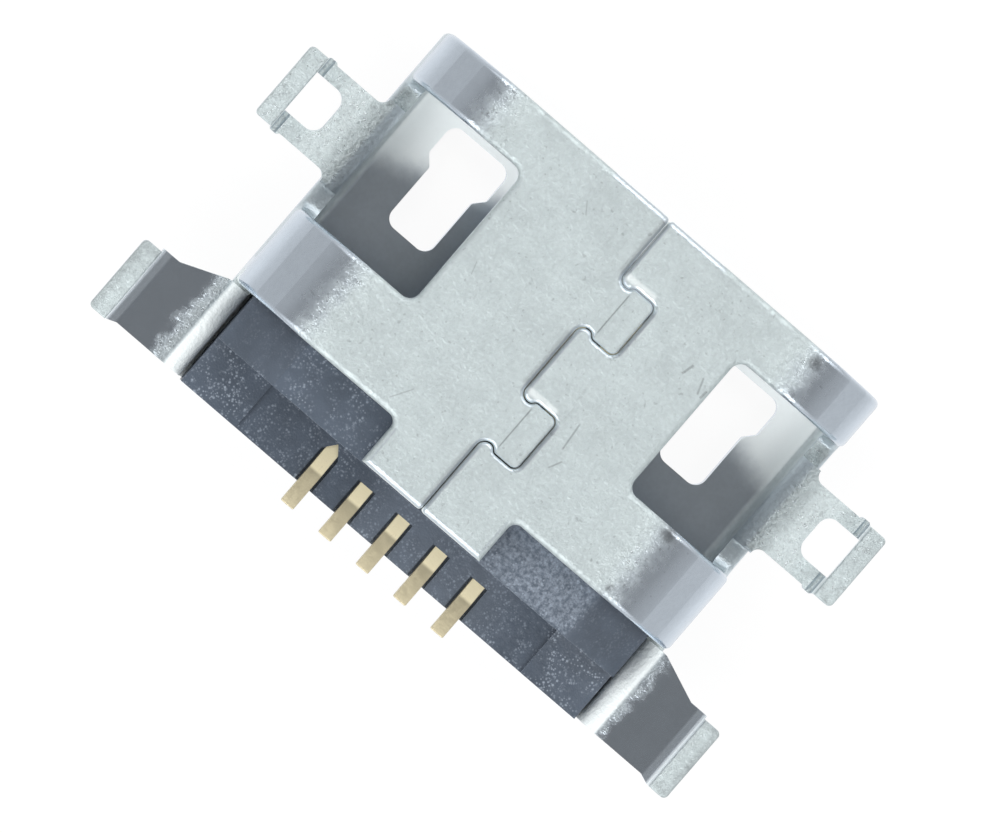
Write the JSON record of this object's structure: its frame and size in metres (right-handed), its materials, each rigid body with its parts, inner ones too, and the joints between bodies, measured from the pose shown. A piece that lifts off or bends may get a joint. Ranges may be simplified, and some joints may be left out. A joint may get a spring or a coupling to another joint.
{
  "type": "charging port",
  "caption": "Sunk-mount charging socket: folded metal shell with a keyed seam, windows and turned-up solder legs around a black moulded tongue with gold-plated contacts.",
  "frame": {"origin": "middle of the width and of the overall length, on the outside of the wide wall", "axes": "+X across the width, -Y out of the mouth, +Z from the wide wall to the seamed wall, the way the solder legs point"},
  "size_m": [0.01, 0.0062, 0.0025],
  "materials": {
    "plated_steel": "bright tin or nickel plating, satin on the raised faces",
    "black_plastic": "fine sparked mould texture",
    "gold_plating": "thin gold over nickel"
  },
  "bodies": {
    "root": {"shell": "plated_steel", "housing": "black_plastic", "contact_1": "gold_plating", "contact_2": "gold_plating", "contact_3": "gold_plating", "contact_4": "gold_plating", "contact_5": "gold_plating"}
  },
  "joints": []
}
